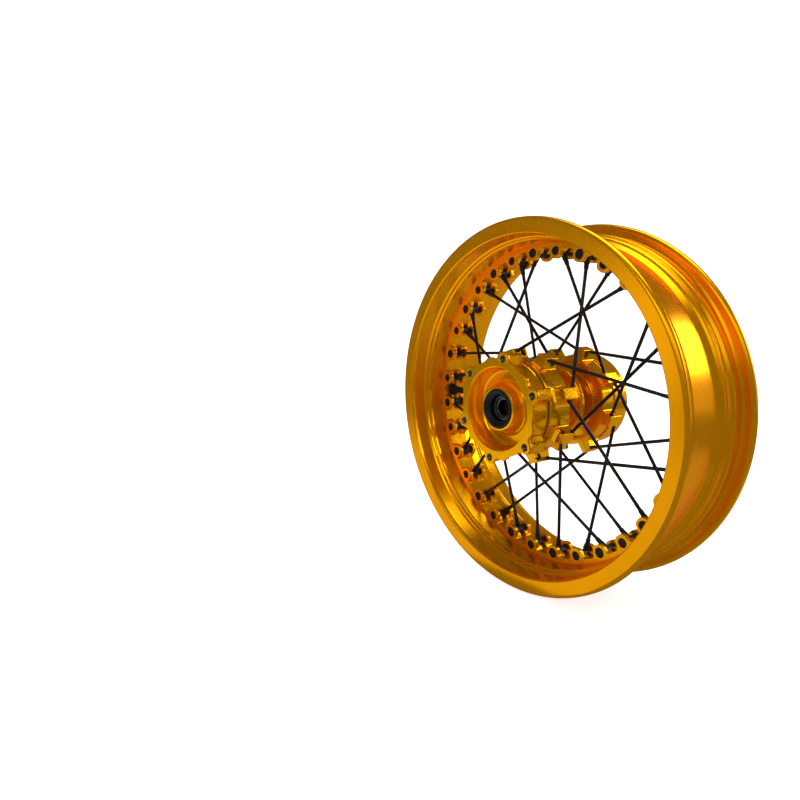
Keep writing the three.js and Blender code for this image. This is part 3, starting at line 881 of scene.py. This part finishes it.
# boxes aimed at the wheel, and boxes that lie on the floor and face up:
# name, place and size in metres, and how bright each box is
SOFTBOXES = (
    ("top", (0.2, 0.3, 2.2), (1.8, 1.8), 3.2),
    ("key", (1.05, 2.2, 0.84), (0.9, 0.8), 8.0),
    ("side", (1.59, -1.34, 1.2), (2.6, 0.9), 1.1),
    ("front", (0.5, -2.4, 1.3), (0.8, 0.9), 2.2),
    ("fill", (-1.05, -2.0, 0.05), (0.45, 0.6), 1.3),
    ("horizon", (1.7, 1.9, 0.15), (2.2, 0.7), 0.5),
)
FLOOR_BOXES = (
    ("ground_front", (-0.42, -0.62, -0.231), (1.05, 1.05), 0.6),
    ("ground_back", (0.08, 0.42, -0.231), (0.8, 0.65), 0.3),
)


def softbox(name, location, size, radiance, target):
    """A white area light of a given brightness, aimed at a place and hidden from the camera."""
    data = bpy.data.lights.new(name, "AREA")
    data.shape = "RECTANGLE"
    data.size, data.size_y = size
    data.energy = radiance * math.pi * size[0] * size[1]
    light = bpy.data.objects.new(name, data)
    light.location = location
    light.rotation_euler = (Vector(target) - Vector(location)).to_track_quat("-Z", "Y").to_euler()
    light.visible_camera = False
    bpy.context.scene.collection.objects.link(light)


def make_floor():
    """A pale floor that curves up into a wall behind the wheel, square to the camera's view."""
    bm = bmesh.new()
    floor_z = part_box("rim")[0].z - 0.0005
    straight = WALL_PLACE - WALL_BEND
    section = [(-WALL_PLACE, 0.0), (straight, 0.0)]
    for n in range(1, 13):
        turn = math.pi / 2 * n / 12
        section.append((straight + WALL_BEND * math.sin(turn), WALL_BEND - WALL_BEND * math.cos(turn)))
    section.append((WALL_PLACE, WALL_HEIGHT))
    rows = []
    for along, z in section:
        ends = (-FLOOR_HALF_WIDTH, FLOOR_HALF_WIDTH)
        rows.append([bm.verts.new((across, along, z + floor_z)) for across in ends])
    for first, second in zip(rows, rows[1:]):
        bm.faces.new((first[0], first[1], second[1], second[0]))
    mesh = bpy.data.meshes.new("floor")
    bm.to_mesh(mesh)
    bm.free()
    mesh.polygons.foreach_set("use_smooth", [True] * len(mesh.polygons))
    nodes = Nodes("floor_paper")
    place = place_of(nodes)
    tooth = nodes.noise(place, 60.0, 3.0, 0.6)
    nodes.link(nodes.blend(nodes.spread(tooth, 0.0, 1.0), grey(0.87), grey(0.89)), "Base Color")
    nodes.shader.inputs["Roughness"].default_value = 0.9
    nodes.shader.inputs["Emission Color"].default_value = (1, 1, 1, 1)
    nodes.shader.inputs["Emission Strength"].default_value = FLOOR_GLOW
    mesh.materials.append(nodes.material)
    floor = bpy.data.objects.new("floor", mesh)
    floor.rotation_euler = (0, 0, math.radians(CAMERA_AZIMUTH))
    floor.visible_glossy = False
    bpy.context.scene.collection.objects.link(floor)


def make_camera():
    data = bpy.data.cameras.new("camera")
    data.sensor_width = 36.0
    data.lens = CAMERA_LENS
    data.shift_x, data.shift_y = CAMERA_SHIFT
    data.dof.use_dof = False
    camera = bpy.data.objects.new("camera", data)
    camera.location = CAMERA_PLACE
    camera.rotation_euler = (math.radians(90 - CAMERA_ELEVATION), 0, math.radians(CAMERA_AZIMUTH))
    bpy.context.scene.collection.objects.link(camera)
    bpy.context.scene.camera = camera


def make_light():
    world = bpy.data.worlds.new("studio")
    world.use_nodes = True
    background = world.node_tree.nodes["Background"]
    background.inputs["Color"].default_value = (1, 1, 1, 1)
    background.inputs["Strength"].default_value = WORLD_STRENGTH
    bpy.context.scene.world = world
    bpy.context.scene.view_settings.view_transform = "Standard"
    for name, location, size, radiance in SOFTBOXES:
        softbox(name, location, size, radiance, (0, 0, 0))
    for name, location, size, radiance in FLOOR_BOXES:
        softbox(name, location, size, radiance, (location[0], location[1], 1))


make_camera()
make_floor()
make_light()
